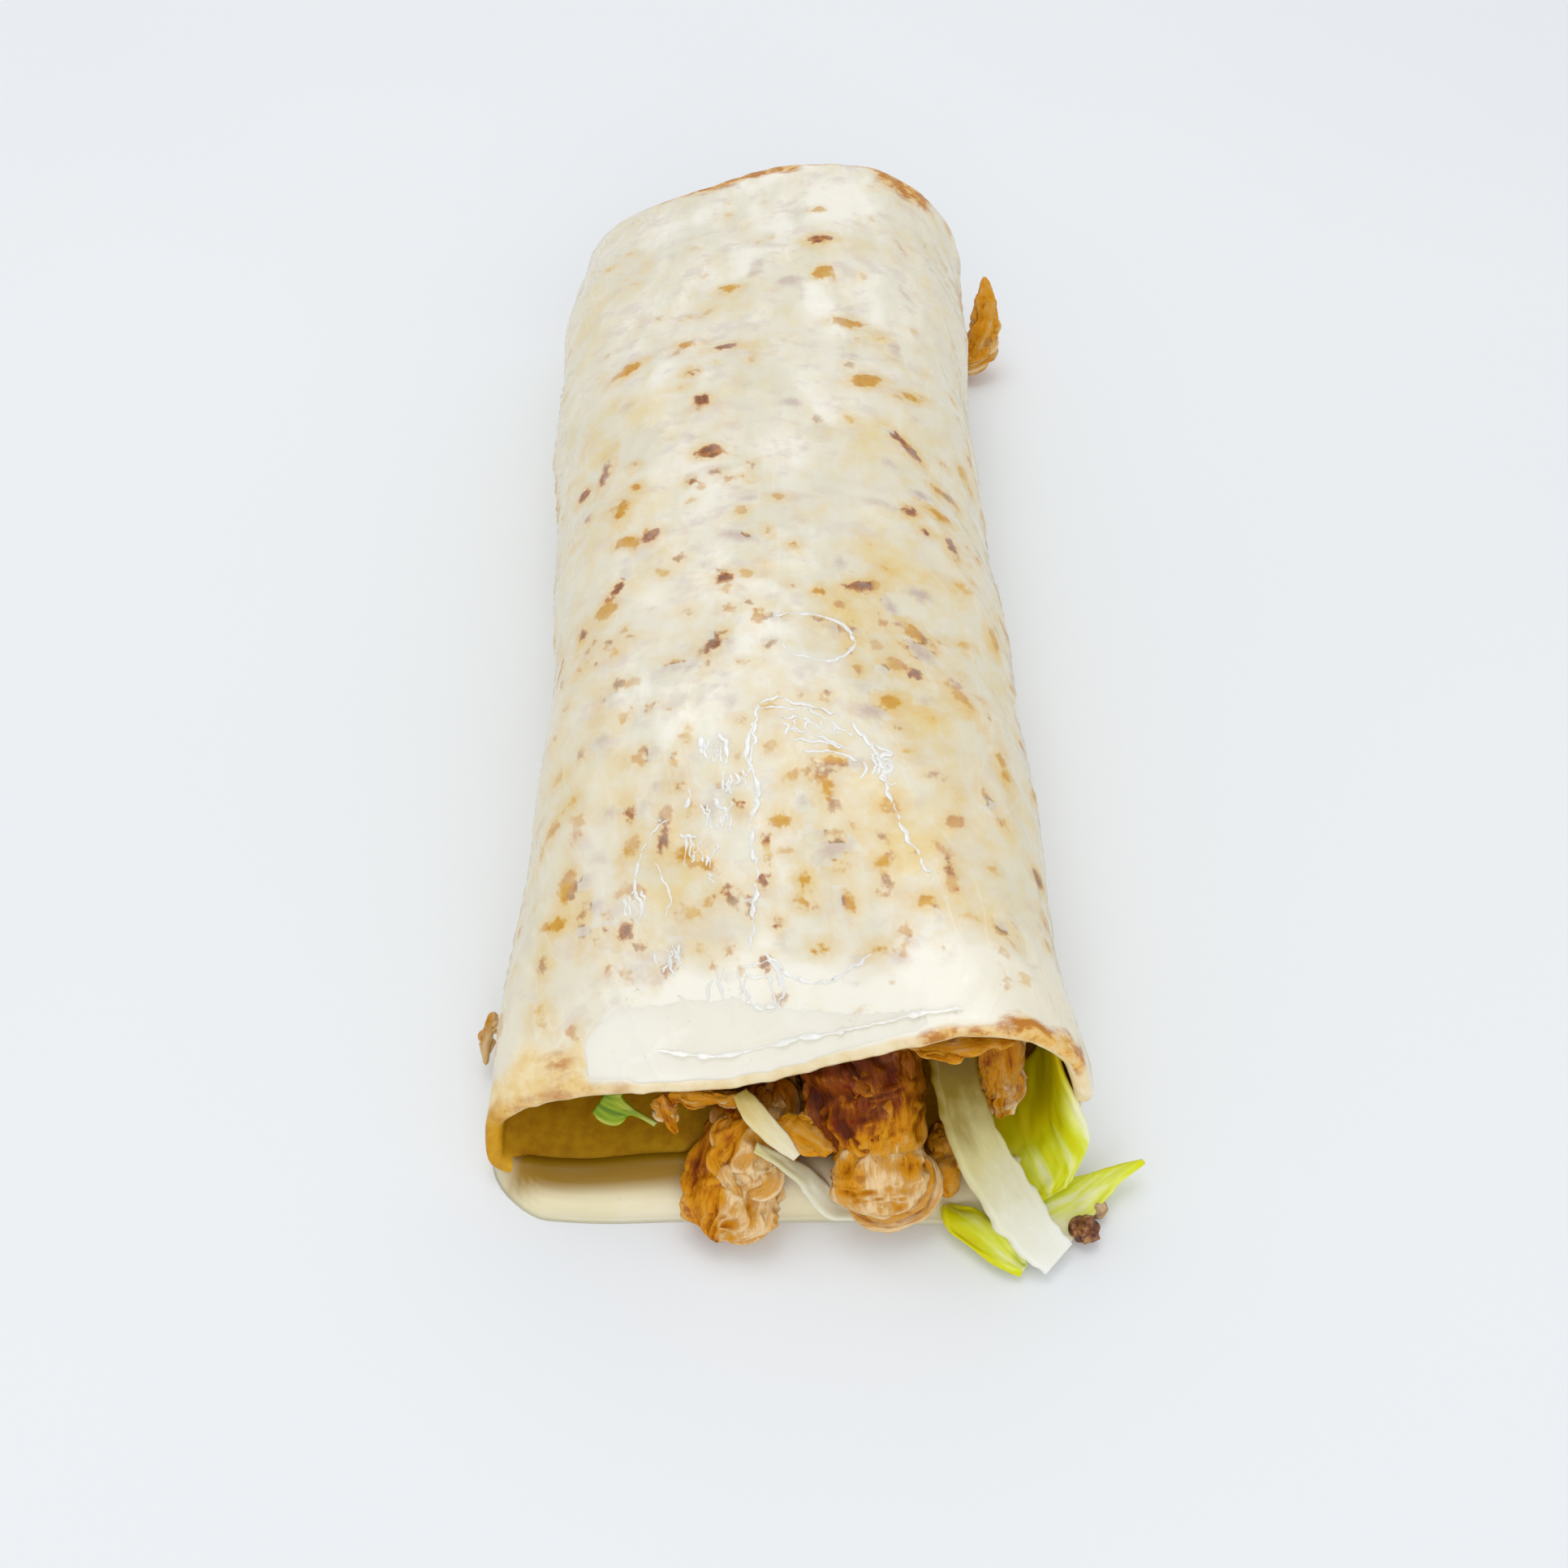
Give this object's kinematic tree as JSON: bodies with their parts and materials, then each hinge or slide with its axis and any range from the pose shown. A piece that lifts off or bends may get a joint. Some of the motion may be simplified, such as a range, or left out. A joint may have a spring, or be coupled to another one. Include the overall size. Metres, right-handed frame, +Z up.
{
  "type": "burrito",
  "caption": "Long burrito lying on its seam: a toasted flour tortilla rolled round shredded chicken and lettuce that show in its open ends, under a thin pale sauce.",
  "frame": {"origin": "on the resting face, under the middle of the roll between its two ends", "axes": "+Y along the roll from the open mouth to the far end, +Z up, +X to the right as seen from the mouth"},
  "size_m": [0.0945, 0.2163, 0.0437],
  "materials": {
    "tortilla": "soft toasted flour tortilla, cream with brown toast spots",
    "chicken": "moist torn chicken, orange-brown and fibrous",
    "lettuce": "fresh lettuce leaf, lime green with a waxy gloss",
    "lettuce_rib": "pale, slightly clear lettuce rib",
    "crumb": "dark fried crumb",
    "sauce": "thin glossy cream sauce over and round the tortilla"
  },
  "bodies": {
    "root": {"tortilla": "tortilla", "chicken_filling": "chicken", "chicken_chunk_left": "chicken", "chicken_chunk_centre": "chicken", "chicken_flap": "chicken", "chicken_shred_lip": "chicken", "chicken_shred_tooth": "chicken", "chicken_shred_top": "chicken", "chicken_shred_right": "chicken", "chicken_wedge_low": "chicken", "chicken_shred_far": "chicken", "chicken_shred_side": "chicken", "lettuce_filling": "lettuce", "lettuce_leaf": "lettuce", "lettuce_tail": "lettuce", "lettuce_curl": "lettuce", "lettuce_bit_left": "lettuce", "lettuce_rib": "lettuce_rib", "lettuce_strip_cream": "lettuce_rib", "lettuce_strip_clear": "lettuce_rib", "crumb": "crumb"}
  },
  "joints": []
}
